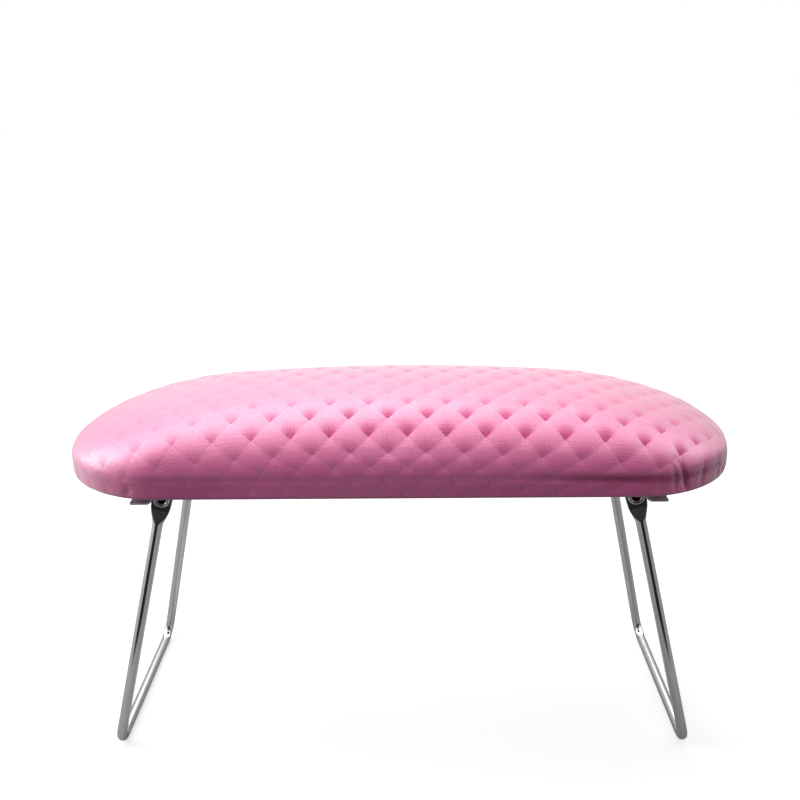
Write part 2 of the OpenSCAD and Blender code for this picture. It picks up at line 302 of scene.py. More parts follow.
def outline_directions(arc_steps, side_steps):
    """Round the stadium: the share of the half length, and the cosine and sine of the direction, at each
    point."""
    turn = np.pi * np.arange(arc_steps) / arc_steps
    run = np.arange(side_steps) / side_steps
    along = np.concatenate([np.ones(arc_steps), 1 - 2 * run, -np.ones(arc_steps), 2 * run - 1])
    angle = np.concatenate([turn - np.pi / 2, np.full(side_steps, np.pi / 2),
                            turn + np.pi / 2, np.full(side_steps, -np.pi / 2)])
    return along, np.cos(angle), np.sin(angle)


def rings(half, radius, directions):
    """Plan positions of stadium rings: x is the half length times along, plus the radius times the cosine."""
    along, cosine, sine = directions
    x = half[:, None] * along + radius[:, None] * cosine
    y = radius[:, None] * sine
    return x, y


def dome_profile(turn, inset):
    """Half length, radius and height share of the dome at each angle from the crown, a superellipse."""
    spread = np.sin(turn) ** (2 / DOME_FULLNESS)
    half = END_HALF * (RIDGE_SHARE + (1 - RIDGE_SHARE) * spread)
    return half, (WIDE_R - inset) * spread, np.maximum(np.cos(turn), 0) ** (2 / DOME_FULLNESS)


def cushion_grid(inset, bottom_r, bottom_z, dome_rings, side_rings, directions):
    """Rings of the cushion from the crown to its bottom edge. The dome is a superellipse whose height falls
    with the square of the distance along, and the side below the widest line is a fuller superellipse."""
    turn = (np.pi / 2) * np.linspace(0, 1, dome_rings) ** RING_CROWDING
    half, radius, rise = dome_profile(turn, inset)
    x, y = rings(half, radius, directions)
    crown = cover_high.z - inset - WIDEST_Z
    fall = CROWN_FALL / (cover_high.z - WIDEST_Z)
    z = WIDEST_Z + crown * rise[:, None] * (1 - fall * (x / HALF_LENGTH) ** 2)
    low = np.pi / 2 * (1 - np.arange(1, side_rings + 1) / side_rings)
    out = np.sin(low) ** (2 / SIDE_FULLNESS)
    drop = 1 - np.maximum(np.cos(low), 0) ** (2 / SIDE_FULLNESS)
    side_r = bottom_r + (WIDE_R - inset - bottom_r) * out
    side_x, side_y = rings(np.full(side_rings, END_HALF), side_r, directions)
    side_z = (bottom_z + (WIDEST_Z - bottom_z) * drop)[:, None] + 0 * side_x
    return np.concatenate([np.stack([x, y, z], 2), np.stack([side_x, side_y, side_z], 2)])


def even_rings(grid, count, column):
    """The same surface with count rings, spaced evenly along one column, by linear steps between rings."""
    step = np.linalg.norm(np.diff(grid[:, column], axis=0), axis=1)
    travel = np.concatenate([[0], np.cumsum(step)])
    wanted = np.interp(np.linspace(0, travel[-1], count), travel, np.arange(len(travel)))
    low = np.minimum(wanted.astype(int), len(travel) - 2)
    share = (wanted - low)[:, None, None]
    return grid[low] * (1 - share) + grid[low + 1] * share


def lay_flat(grid):
    """Where each point of the sheet lay before it was drawn over the foam: the plan direction of each step,
    times the step's true length, added up from the crown."""
    step = np.diff(grid, axis=0)
    length = np.linalg.norm(step, axis=2)
    plan = np.linalg.norm(step[..., :2], axis=2)
    direction = step[..., :2] / np.maximum(plan, 1e-9)[..., None]
    for k in range(1, len(direction)):
        weak = plan[k] < 0.3 * length[k]
        direction[k][weak] = direction[k - 1][weak]
    flat = np.zeros(grid.shape[:2] + (2,))
    flat[0] = grid[0, :, :2]
    flat[1:] = flat[0] + np.cumsum(direction * length[..., None], axis=0)
    return flat


def diamonds(flat, along, across, start):
    """Height share of the embossed diamonds, 1 at a centre and 0 at a crossing. With a and b the distances
    from the centre line between creases, it is one less a shallow part, the larger power of the two along
    the creases, and a deep part, a power of their product, at the crossings."""
    u = (flat[..., 0] - start[0]) / along
    v = (flat[..., 1] - start[1]) / across
    a = 2 * np.abs((u + v) % 1 - 0.5)
    b = 2 * np.abs((u - v) % 1 - 0.5)
    return 1 - CREASE_SHARE * np.maximum(a, b) ** CREASE_POWER - (1 - CREASE_SHARE) * (a * b) ** CROSSING_POWER


def swell_cover(grid):
    """Blows a coarse copy of the filled cover up a little with cloth pressure, its bottom edge held, limits how
    far its points move, and carries the movement over to the finer grid."""
    directions = outline_directions(30, 40)
    start = cushion_grid(SWELL_START, EDGE_R, HEM_Z, 30, 8, directions)
    floor_half = END_HALF * np.array([(1 + RIDGE_SHARE) / 2, RIDGE_SHARE])
    floor_x, floor_y = rings(floor_half, np.array([EDGE_R * 0.5, 0.0]), directions)
    start = np.concatenate([start, np.stack([floor_x, floor_y, HEM_Z + 0 * floor_x], 2)])
    pad = make_mesh("swelling_pad", start)
    voxels = pad.modifiers.new("voxels", "REMESH")
    voxels.mode = "VOXEL"
    voxels.voxel_size = VOXEL
    before = coordinates(apply_modifiers(pad))
    held = pad.vertex_groups.new(name="held_edge")
    held.add([int(k) for k in np.nonzero(before[:, 2] < HEM_Z + HELD_HEIGHT)[0]], 1.0, "REPLACE")
    cloth = pad.modifiers.new("cloth", "CLOTH")
    cloth.settings.use_pressure = True
    cloth.settings.uniform_pressure_force = PRESSURE
    cloth.settings.effector_weights.gravity = 0
    cloth.settings.vertex_group_mass = "held_edge"
    cloth.point_cache.frame_start = 1
    cloth.point_cache.frame_end = FRAMES
    for step in range(1, FRAMES + 1):
        bpy.context.scene.frame_set(step)
    moved = coordinates(pad.evaluated_get(bpy.context.evaluated_depsgraph_get()).data) - before
    length = np.linalg.norm(moved, axis=1, keepdims=True)
    moved = moved * np.minimum(1, SWELL_LIMIT / np.maximum(length, 1e-9))
    bpy.context.scene.frame_set(1)
    bpy.data.objects.remove(pad)
    return grid + carry_over(before, moved, grid)


def carry_over(places, moves, grid):
    """At each point of the grid, the mean of the moves at the nearest places, weighted by a bell of their
    distance."""
    tree = KDTree(len(places))
    for k, point in enumerate(places):
        tree.insert(point, k)
    tree.balance()
    near = [tree.find_n(point, CARRY_POINTS) for point in grid.reshape(-1, 3)]
    index = np.array([[hit[1] for hit in hits] for hits in near])
    reach = np.array([[hit[2] for hit in hits] for hits in near])
    weight = np.exp(-(reach / CARRY_REACH) ** 2 / 2)
    weight /= weight.sum(1, keepdims=True)
    return (moves[index] * weight[..., None]).sum(1).reshape(grid.shape)


def end_puckers(grid, directions):
    """How far each point is drawn in by the puckers round the ends: narrow dips at uneven angles, deepest a
    little above the bottom edge and gone where the dome starts."""
    along, cosine, sine = directions
    angle = np.arctan2(sine, cosine * np.sign(along))
    rng = np.random.default_rng(11)
    travel = angle * WIDE_R * np.ones_like(grid[..., 0])
    height = grid[..., 2] - HEM_Z
    dip = np.zeros(grid.shape[:2])
    for side, count, strength in PUCKER_ENDS:
        for middle in np.linspace(*PUCKER_ANGLES, count):
            place = (middle + rng.uniform(-0.07, 0.07)) * WIDE_R
            depth = PUCKER_DEPTH * strength * rng.uniform(0.15, 1.0)
            half = PUCKER_HALF * rng.uniform(0.7, 1.6)
            top = rng.uniform(0.010, 0.024)
            lean = rng.uniform(-0.35, 0.35)
            across = np.exp(-((travel - place - lean * height) / (half * (1 + 25 * height))) ** 2)
            rise = blend(0, 0.005, height) * (1 - blend(top * 0.4, top, height))
            dip += depth * across * rise * (np.sign(along) == side) * (np.abs(along) > 0.999)
    return dip * (1 - blend(*PUCKER_FADE, np.abs(angle)))


def cover_rings(inset, directions):
    """The cushion's rings under the cover, spaced evenly along the middle of its rear side."""
    fine = cushion_grid(inset, EDGE_R, HEM_Z, 400, 60, directions)
    return even_rings(fine, COVER_RINGS, ARC_STEPS + SIDE_STEPS // 2)


def cover_lift(base, flat, puckers):
    """How far each point of the cover is raised along its normal: the diamonds, less towards the bottom edge,
    on the lower walls of the ends and on the left of the front, minus a bell-shaped line along the board's top
    edge, the sheet's lean below it, and the puckers."""
    x, level = base[..., 0], base[..., 2] - HEM_Z
    height = base[..., 2] - BOARD_LINE_Z
    puff = diamonds(flat, DIAMOND_ALONG, DIAMOND_ACROSS, DIAMOND_START)
    line = BOARD_LINE_DEPTH * np.exp(-(height / BOARD_LINE_HALF) ** 2)
    line *= 0.2 + 0.8 * blend(-0.180, -0.120, x)
    below = BOARD_LINE_DEPTH * (1 - blend(-0.004, 0.0, height)) * blend(0.0, 0.006, level)
    pull = line + 0.6 * below + puckers
    depth = np.clip(level / 0.004, 0, 1)
    ends = blend(0.150, 0.180, np.abs(x)) * (1 - blend(0.012, 0.030, level))
    left_press = 1 - 0.6 * (1 - blend(-0.14, -0.01, flat[..., 0])) * (1 - blend(0.0, 0.045, flat[..., 1]))
    return (puff - 0.5) * PUFF_H * depth * (1 - 0.8 * ends) * left_press - pull


def cover_painted_shade(points, folds):
    """How much shade is painted at each point of the cover, from 0 to 1: in the bottom seam, the folds of the
    puckers, a fold line along the right half of the front, a low band that fades to the left, and the ends' lower
    front walls."""
    x, y, level = points[..., 0], points[..., 1], points[..., 2] - HEM_Z
    seam = 1 - blend(SEAM_DARK * 0.2, SEAM_DARK, level)
    ridge = np.exp(-((level - FOLD_Z + FOLD_SLOPE * (x - 0.15)) / FOLD_HALF) ** 2)
    front = (y < 0) * blend(0.05, 0.13, x) * (1 - blend(0.180, 0.196, x))
    band = BAND_DARK * (1 - blend(0.005, 0.013, level)) * blend(-0.19, 0.12, x)
    right_wall = RIGHT_WALL_DARK * blend(0.148, 0.170, x) * (1 - blend(0.011, 0.019, level))
    left_wall = LEFT_WALL_DARK * blend(-0.180, -0.165, x) * (1 - blend(-0.12, -0.06, x))
    left_wall = left_wall * (1 - blend(0.009, 0.016, level))
    walls = np.maximum(right_wall, left_wall) * (1 - blend(-0.045, -0.012, y))
    dark = np.maximum(seam, folds + FOLD_DARK * ridge * front)
    return np.clip(np.maximum(np.maximum(dark, walls), band), 0, 1)


def make_cover():
    """The quilted sheet: the cushion's rings, swollen by the foam and raised along their normals by the
    emboss, and then the hem. Its UV is where each point lay before the sheet was drawn over the foam."""
    directions = outline_directions(ARC_STEPS, SIDE_STEPS)
    base = cover_rings(0, directions)
    flat = lay_flat(base)
    low = np.clip(np.abs(flat[..., 1]) - WALL_LINE, 0, None) * np.sign(flat[..., 1])
    flat[..., 1] += WALL_GATHER * low
    base = swell_cover(cover_rings(SWELL_START, directions))
    puckers = end_puckers(base, directions)
    grid = base + surface_normals(base) * cover_lift(base, flat, puckers)[..., None]
    hem_r = np.linspace(EDGE_R, HEM_R, 8)[1:]
    hem_x, hem_y = rings(np.full(len(hem_r), END_HALF), hem_r, directions)
    hem = np.stack([hem_x, hem_y, np.full_like(hem_x, HEM_Z)], 2)
    hem_flat = flat[-1:] + (hem[..., :2] - base[-1:, :, :2])
    points = np.concatenate([grid, hem])
    # Painted shade: the puckers' folds, with the seam, fold line, low band and end walls added below
    folds = np.concatenate([puckers / PUCKER_DEPTH * PUCKER_DARK, 0 * hem_x])
    piece = make_mesh("quilted_cover", points, np.concatenate([flat, hem_flat]), cover_painted_shade(points, folds))
    give_thickness(piece, COVER_T)
    return piece


def make_backing():
    """The underside fabric: flat rings from the middle out, pressed inwards by shallow diamonds, then a small
    quarter round up to the cushion's bottom edge and a fold back over the card."""
    directions = outline_directions(110, 150)
    share = np.linspace(0, 1, 56) ** 0.8
    flat_r = BACKING_R - BACKING_ROUND
    radius = flat_r * share
    half = END_HALF * (RIDGE_SHARE + (1 - RIDGE_SHARE) * share)
    x, y = rings(half, radius, directions)
    puff = diamonds(np.stack([x, y], 2), UNDER_DIAMOND_ALONG, UNDER_DIAMOND_ACROSS, UNDER_DIAMOND_START)
    z = UNDER_Z + UNDER_PUFF_H * (1 - puff) * (share[:, None] < 0.995)
    turn = np.linspace(0, np.pi, 13)[1:]
    edge_r = flat_r + BACKING_ROUND * np.sin(turn)
    middle = (UNDER_Z + HEM_Z - 2 * BACKING_LIFT) / 2
    edge_z = middle - (middle - UNDER_Z) * np.cos(turn)
    edge_x, edge_y = rings(np.full(len(turn), END_HALF), edge_r, directions)
    fold_x, fold_y = rings(np.full(3, END_HALF), flat_r - np.array([0.002, 0.004, 0.006]), directions)
    grid = np.concatenate([
        np.stack([x, y, z], 2),
        np.stack([edge_x, edge_y, edge_z[:, None] + 0 * edge_x], 2),
        np.stack([fold_x, fold_y, edge_z[-1] + 0 * fold_x], 2)])
    piece = make_mesh("backing_fabric", grid, lay_flat(grid), flip=True)
    give_thickness(piece, BACKING_T)
    return piece


def make_foam():
    """The foam block: the cushion's rings drawn in by the sheet and its clearance, down to a rabbet that sits
    over the board's edge."""
    directions = outline_directions(48, 60)
    inset = cover_high.y - foam_high.y + FOAM_SQUEEZE
    board_r = board_high.y + BOARD_GAP
    skirt_z = foam_low.z
    dome = cushion_grid(inset, board_r + SKIRT_T, skirt_z, 40, 12, directions)
    step_r = np.array([board_r, board_r, board_r - 0.02, 0.0])
    step_half = np.array([END_HALF, END_HALF, END_HALF * 0.8, END_HALF * RIDGE_SHARE])
    step_x, step_y = rings(step_half, step_r, directions)
    step_z = np.array([skirt_z, board_high.z, board_high.z, board_high.z])[:, None] + 0 * step_x
    return make_mesh("foam_block", np.concatenate([dome, np.stack([step_x, step_y, step_z], 2)]))


# Legs

def leg_path():
    """Half of the wire's centre line in its own plane, as distances out and down: the round eye, the flat lug
    straight down, the arm, a bend of one radius, and half of the crossbar."""
    tilt = math.atan((FOOT_HALF - LUG_Y) / LEG_LENGTH)
    tangent = FOOT_BEND_R * math.tan((math.pi / 2 + tilt) / 2)
    arm_end = LEG_LENGTH - tangent * math.cos(tilt)
    down = np.concatenate([-EYE_R * np.cos(np.linspace(0, np.pi / 2, 16)), np.linspace(0, LUG_NECK, 36)[1:],
                           np.linspace(LUG_NECK, arm_end, 30)[1:]])
    out = LUG_Y + np.tan(tilt) * np.maximum(down, 0) * blend(LUG_FLAT * 0.6, LUG_NECK, down)
    turn = np.linspace(0, np.pi / 2 + tilt, 22)[1:]
    centre_out = FOOT_HALF - tangent
    centre_down = LEG_LENGTH - FOOT_BEND_R
    bend_out = centre_out + FOOT_BEND_R * np.cos(turn - tilt)
    bend_down = centre_down + FOOT_BEND_R * np.sin(turn - tilt)
    bar_out = np.linspace(centre_out, 0, 12)[1:]
    out = np.concatenate([out, bend_out, bar_out])
    down = np.concatenate([down, bend_down, np.full(len(bar_out), LEG_LENGTH)])
    return out, down


def make_leg(name, side):
    """The leg: an oval carried along the wire's path. Its width and thickness go from the wire's radius to the
    flat lug's, with squarer corners there, and the lug's end is a half circle."""
    out, down = leg_path()
    lug = 1 - blend(LUG_FLAT, LUG_NECK, down)
    taper = EYE_R - (EYE_R - LUG_END_R) * np.clip(down / LUG_FLAT, 0, 1)
    eye = np.sqrt(np.maximum(EYE_R ** 2 - np.minimum(down, 0) ** 2, 0))
    straight = 1 - np.clip((down - LUG_FLAT) / (LUG_NECK - LUG_FLAT), 0, 1)
    wide = np.where(down < 0, eye, WIRE_R + (taper - WIRE_R) * (0.75 * straight + 0.25 * lug))
    thick = WIRE_R + (LUG_HALF_T - WIRE_R) * lug
    squareness = 2 + 6 * lug
    out = np.concatenate([out, -out[-2::-1]])
    down = np.concatenate([down, down[-2::-1]])
    wide, thick, squareness = (np.concatenate([v, v[-2::-1]]) for v in (wide, thick, squareness))
    tangent = np.stack([np.gradient(out), np.gradient(down)], 1)
    tangent /= np.linalg.norm(tangent, axis=1, keepdims=True)
    normal = np.stack([tangent[:, 1], -tangent[:, 0]], 1)
    turn = 2 * np.pi * np.arange(48) / 48
    power = 2 / squareness[:, None]
    across = wide[:, None] * np.sign(np.cos(turn)) * np.abs(np.cos(turn)) ** power
    through = thick[:, None] * np.sign(np.sin(turn)) * np.abs(np.sin(turn)) ** power
    y = out[:, None] + through * normal[:, 0, None]
    z = -down[:, None] - through * normal[:, 1, None]
    lean, upright = np.sin(LEG_SPLAY), np.cos(LEG_SPLAY)
    x_turned = across * upright - z * lean
    z_turned = across * lean + z * upright
    grid = np.stack([side * (PIVOT[0] + x_turned), y, PIVOT[2] + z_turned], 2)
    piece = make_mesh(name, grid)
    for end in (-1, 1):
        pierce(piece, (side * PIVOT[0], end * LUG_Y, PIVOT[2]))
    return piece


def pierce(piece, middle):
    """Cuts the rivet's bore through a lug, along Y through the point middle."""
    radius = (RIVET_R + RIVET_PLAY) * np.array([0, 1, 1, 0])
    height = 4 * LUG_HALF_T * np.array([-1, -1, 1, 1])
    punch = lathe("bore_punch", radius, height, 48, middle, 1)
    cut = piece.modifiers.new("bore", "BOOLEAN")
    cut.operation = "DIFFERENCE"
    cut.solver = "EXACT"
    cut.object = punch
    apply_modifiers(piece).set_sharp_from_angle(angle=SHARP_ANGLE)
    bpy.data.objects.remove(punch)


# Fasteners

def lathe(name, radius, height, steps, origin, axis, soil=None):
    """A profile of radii and heights turned about an axis along +Y or -Y (axis 1 or -1) through the origin,
    with an optional painted shade value at each point of the profile."""
    turn = 2 * np.pi * np.arange(steps) / steps
    x = origin[0] + radius[:, None] * np.cos(turn)
    z = origin[2] + radius[:, None] * np.sin(turn)
    y = origin[1] + axis * height[:, None] + 0 * x
    return make_mesh(name, np.stack([x, y, z], 2), soil=None if soil is None else np.repeat(soil, steps))


def make_rivet(name, side, end):
    """A tubular rivet from its inner head outwards: the shank, a head with a rolled lip, and a dished hollow
    that narrows to the tube and is painted nearly black as shade."""
    low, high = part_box(name)
    start = low.y if end > 0 else high.y
    length = high.y - low.y
    roll = np.linspace(-np.pi / 2, np.pi * 0.75, 15)
    lip_r = RIVET_LIP_R
    ring_r = RIVET_HEAD_R - lip_r
    top = length - lip_r
    tail_r, tail_h = np.array(RIVET_TAIL).T
    hollow_r, hollow_depth = np.array(RIVET_HOLLOW).T
    radius = np.concatenate([tail_r, [RIVET_R, ring_r - RIVET_UNDERCUT], ring_r + lip_r * np.cos(roll), hollow_r])
    height = np.concatenate([tail_h, [length - RIVET_HEAD_T] * 2, top + lip_r * np.sin(roll),
                             length - hollow_depth])
    # The hollow's inner wall and floor are painted nearly black as shade
    near = 0.0001
    inner = ((radius < RIVET_R + near) & (height > length - hollow_depth.max() - near)
             & (height < length - hollow_depth.min() + near))
    return lathe(name + "_rolled", radius, height, 64, (side * PIVOT[0], start, PIVOT[2]), end,
                 inner.astype(float))


def make_screw(name, turned):
    """A pan head screw: a polar grid whose height is a spherical dome less a tapered cross, then the plain
    underside of the head and the shank."""
    low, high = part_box(name)
    middle = ((low.x + high.x) / 2, (low.y + high.y) / 2)
    seat = low.z + SCREW_HEAD_H
    cap_r = (SCREW_HEAD_R ** 2 + SCREW_HEAD_H ** 2) / (2 * SCREW_HEAD_H)
    reach = RECESS_L / 2
    radius = np.concatenate([np.linspace(0, reach + 0.0003, 40), np.linspace(reach + 0.0004, SCREW_HEAD_R, 16)])
    turn = 2 * np.pi * np.arange(120) / 120
    x, y = radius[:, None] * np.cos(turn), radius[:, None] * np.sin(turn)
    dome = np.sqrt(cap_r ** 2 - x ** 2 - y ** 2) - (cap_r - SCREW_HEAD_H)
    arms = [(1 - blend(RECESS_W * 0.38, RECESS_W * 0.62, np.abs(b)))
            * (1 - blend(RECESS_L * 0.36, RECESS_L * 0.5, np.abs(a))) for a, b in ((x, y), (y, x))]
    cut = RECESS_DEPTH * np.maximum(*arms) * (1 - RECESS_SLOPE * np.hypot(x, y) / reach).clip(0, 1)
    z = seat - dome + cut
    tail_r = np.array([SCREW_HEAD_R, SCREW_R, SCREW_R, 0.0])
    tail_z = np.array([seat, seat, high.z - SCREW_POINT, high.z])
    full_x = np.concatenate([x, tail_r[:, None] * np.cos(turn)])
    full_y = np.concatenate([y, tail_r[:, None] * np.sin(turn)])
    full_z = np.concatenate([z, tail_z[:, None] + 0 * turn])
    c, s = np.cos(turned), np.sin(turned)
    grid = np.stack([middle[0] + full_x * c - full_y * s, middle[1] + full_x * s + full_y * c, full_z], 2)
    return make_mesh(name + "_pan_head", grid)


def make_plate(name):
    """The pressed plate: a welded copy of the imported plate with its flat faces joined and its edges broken."""
    work = bmesh.new()
    work.from_mesh(frame["nodes"][name].data)
    bmesh.ops.remove_doubles(work, verts=work.verts, dist=2 * WELD)
    bmesh.ops.dissolve_limit(work, angle_limit=math.radians(0.5), verts=work.verts, edges=work.edges)
    mesh = bpy.data.meshes.new(name + "_pressed")
    work.to_mesh(mesh)
    work.free()
    mesh.materials.clear()
    piece = add_object(name + "_pressed", mesh)
    mesh.polygons.foreach_set("use_smooth", np.ones(len(mesh.polygons), bool))
    soften = piece.modifiers.new("broken_edges", "BEVEL")
    soften.width = EDGE_BREAK
    soften.segments = 2
    soften.limit_method = "ANGLE"
    soften.angle_limit = SHARP_ANGLE
    soften.harden_normals = True
    return piece


# Materials

def put(tree, kind, inputs=None, **settings):
    """A node with its settings, and its inputs set to numbers or linked to other nodes' outputs."""
    node = tree.nodes.new(kind)
    for name, value in settings.items():
        setattr(node, name, value)
    for name, value in (inputs or {}).items():
        if isinstance(value, bpy.types.NodeSocket):
            tree.links.new(value, node.inputs[name])
        else:
            node.inputs[name].default_value = value
    return node


def calc(tree, operation, *values):
    """A Math node's output."""
    return put(tree, "ShaderNodeMath", dict(enumerate(values)), operation=operation).outputs[0]


def times(tree, first, *values):
    """The product of several values."""
    for value in values:
        first = calc(tree, "MULTIPLY", first, value)
    return first


def plus(tree, first, *values):
    """The sum of several values."""
    for value in values:
        first = calc(tree, "ADD", first, value)
    return first


def less(tree, first, second):
    """The first value less the second."""
    return calc(tree, "SUBTRACT", first, second)


def ramp(tree, value, low, high, first=0.0, last=1.0, smooth=True):
    """A value from first at low to last at high, with a smooth or a straight step."""
    return put(tree, "ShaderNodeMapRange", {0: value, 1: low, 2: high, 3: first, 4: last},
               interpolation_type="SMOOTHSTEP" if smooth else "LINEAR").outputs[0]


def noise(tree, place, scale, detail, distortion=0.0):
    """A Noise Texture's value."""
    return put(tree, "ShaderNodeTexNoise", {"Vector": place, "Scale": scale, "Detail": detail,
                                            "Distortion": distortion}).outputs[0]


def stretch(tree, place, factors):
    """A place times a factor along each axis."""
    return put(tree, "ShaderNodeVectorMath", {0: place, 1: factors}, operation="MULTIPLY").outputs[0]


def object_place(tree):
    """The place in the object's own frame."""
    return put(tree, "ShaderNodeTexCoord").outputs["Object"]


def painted_shade_value(tree):
    """The mesh's painted shade, which is 0 where a mesh has none."""
    return put(tree, "ShaderNodeAttribute", attribute_name="soil").outputs["Fac"]


def add_bump(tree, shader, height, **more):
    """Gives the shader a bump from a height in metres."""
    bump = put(tree, "ShaderNodeBump", {"Strength": 1.0, "Distance": 1.0, "Height": height, **more})
    tree.links.new(bump.outputs[0], shader.inputs["Normal"])


def fill_inputs(node, values):
    """Sets inputs of a node to constants."""
    for name, value in values.items():
        node.inputs[name].default_value = value


def new_group(name, inputs, outputs):
    """A shader node group with its sockets, of which places and normals are vectors and all others numbers,
    and its tree, inputs and output node."""
    tree = bpy.data.node_groups.new(name, "ShaderNodeTree")
    for way, labels in (("INPUT", inputs), ("OUTPUT", outputs)):
        for label in labels:
            kind = "Vector" if label in ("Fabric", "Place", "Normal") else "Float"
            tree.interface.new_socket(label, in_out=way, socket_type="NodeSocket" + kind)
    return tree, put(tree, "NodeGroupInput").outputs, put(tree, "NodeGroupOutput")


def diamond_group():
    """The embossed diamonds at a place on the fabric: the puff's height share, the crease lines and their
    crossings, the fan that spreads from the lower corner of each diamond, its fine rays with painted shade
    along the fan's fold edges, and a normal that leans down or across the fabric in the fan and from side to
    side along its rays."""
    tree, given, result = new_group(
        "diamond_emboss", ("Fabric", "Along", "Across", "Start U", "Start V", "Tilt", "Down", "Across lean"),
        ("Puff", "Crease", "Crossing", "Fan", "Rays", "Normal"))
    place = put(tree, "ShaderNodeSeparateXYZ", {0: given["Fabric"]}).outputs
    u = calc(tree, "DIVIDE", less(tree, place["X"], given["Start U"]), given["Along"])
    v = calc(tree, "DIVIDE", less(tree, place["Y"], given["Start V"]), given["Across"])
    right = calc(tree, "FRACT", plus(tree, u, v))
    left = calc(tree, "FRACT", less(tree, u, v))
    edges = [times(tree, calc(tree, "ABSOLUTE", less(tree, cell, 0.5)), 2) for cell in (right, left)]
    nearest = calc(tree, "MAXIMUM", *edges)
    crossing = calc(tree, "POWER", times(tree, *edges), CROSSING_POWER)
    dip = plus(tree, times(tree, calc(tree, "POWER", nearest, CREASE_POWER), CREASE_SHARE),
               times(tree, crossing, 1 - CREASE_SHARE))
    other = less(tree, 1, left)
    reach = calc(tree, "SQRT", plus(tree, calc(tree, "POWER", right, 2), calc(tree, "POWER", other, 2)))
    turn = calc(tree, "ARCTAN2", right, other)
    wave = plus(tree, *(times(tree, calc(tree, "SINE", times(tree, turn, count)), share)
                        for count, share in RAY_WAVES))
    tall = plus(tree, times(tree, calc(tree, "SINE", times(tree, turn, 2)), 0.28), 0.72)
    ragged = plus(tree, calc(tree, "DIVIDE", reach, tall), times(tree, wave, 0.06))
    fan = ramp(tree, ragged, FAN_REACH, FAN_REACH * FAN_CORE)
    # The rays are darker along the fan's two edges: painted shade in the fold
    fold_shade = ramp(tree, calc(tree, "MINIMUM", right, other), 0.02, 0.12, 0.55, 0.0, smooth=False)
    rays = plus(tree, times(tree, wave, 0.24), 0.62, fold_shade)
    tilt = times(tree, fan, given["Tilt"])
    side = times(tree, wave, fan, 0.22)
    red = plus(tree, times(tree, tilt, given["Across lean"], 0.5), 0.5, times(tree, side, 0.5))
    green = plus(tree, times(tree, tilt, given["Down"], -0.5), 0.5)
    blue = less(tree, 1.0, times(tree, times(tree, tilt, tilt), 0.25))
    facing = put(tree, "ShaderNodeCombineColor", {0: red, 1: green, 2: blue}).outputs[0]
    normal = put(tree, "ShaderNodeNormalMap", {"Color": facing, "Strength": 1.0}, uv_map="fabric").outputs[0]
    for label, value in (("Puff", less(tree, 1, dip)), ("Crease", ramp(tree, nearest, 0.92, 1.0)),
                         ("Crossing", crossing), ("Fan", fan), ("Rays", times(tree, fan, rays)),
                         ("Normal", normal)):
        tree.links.new(value, result.inputs[label])
    return tree


def weave_group():
    """A plain weave at a place on the fabric: crossing threads with uneven thickness, and speckle."""
    tree, given, result = new_group("linen_weave", ("Fabric", "Pitch"), ("Height", "Speckle"))
    place = put(tree, "ShaderNodeSeparateXYZ", {0: given["Fabric"]}).outputs
    threads = []
    for axis, factors in (("X", (900.0, 60.0, 1.0)), ("Y", (60.0, 900.0, 1.0))):
        wave = calc(tree, "COSINE", times(tree, calc(tree, "DIVIDE", place[axis], given["Pitch"]), 2 * math.pi))
        slub = noise(tree, stretch(tree, given["Fabric"], factors), 1.0, 2.0)
        threads.append(plus(tree, times(tree, wave, 0.24), times(tree, slub, 2.6)))
    tree.links.new(plus(tree, *threads), result.inputs["Height"])
    speckle = ramp(tree, noise(tree, given["Fabric"], 1100.0, 3.0), 0.42, 0.60, smooth=False)
    tree.links.new(speckle, result.inputs["Speckle"])
    return tree


def wear_group():
    """Handling marks on metal: soft smears, and fine scratches along one direction."""
    tree, given, result = new_group("handling_marks", ("Place",), ("Smear", "Scratch"))
    smear = ramp(tree, noise(tree, given["Place"], 70.0, 4.0, 0.6), 0.35, 0.75, smooth=False)
    tree.links.new(smear, result.inputs["Smear"])
    scratch = noise(tree, stretch(tree, given["Place"], (4000.0, 120.0, 900.0)), 1.0, 3.0)
    tree.links.new(scratch, result.inputs["Scratch"])
    return tree


def new_material(name):
    """A node material with one Principled shader, and its tree and shader."""
    material = bpy.data.materials.new(name)
    material.use_nodes = True
    tree = material.node_tree
    return material, tree, tree.nodes["Principled BSDF"]


def mix_colour(tree, share, first, second):
    """A Mix node's colour output."""
    node = put(tree, "ShaderNodeMix", {0: share, 6: first, 7: second}, data_type="RGBA")
    return node.outputs[2]


def scaled(colour, shares):
    """A colour times a share for each channel, at most 1, with full alpha."""
    return (*(min(channel * share, 1) for channel, share in zip(colour, shares)), 1)


